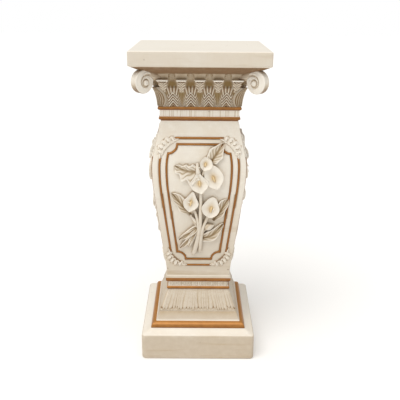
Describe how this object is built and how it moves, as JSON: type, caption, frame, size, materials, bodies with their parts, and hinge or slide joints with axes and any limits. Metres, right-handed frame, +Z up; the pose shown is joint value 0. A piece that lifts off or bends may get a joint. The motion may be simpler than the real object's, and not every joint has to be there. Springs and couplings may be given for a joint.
{
  "type": "column pedestal",
  "caption": "Square pedestal with a swelling body, leaf and volute capital, flat top plate, plinth, and beaded panels with lily sprays in relief.",
  "frame": {"origin": "middle of the plinth's underside, at floor level", "axes": "+Z up along the pedestal, -Y out of the front face, +X to the right seen from the front"},
  "size_m": [0.306, 0.306, 0.76],
  "materials": {
    "painted_plaster": "cream painted cast plaster with antique gold lines and brown antiquing in the capital"
  },
  "bodies": {
    "root": {"pedestal": "painted_plaster"}
  },
  "joints": []
}
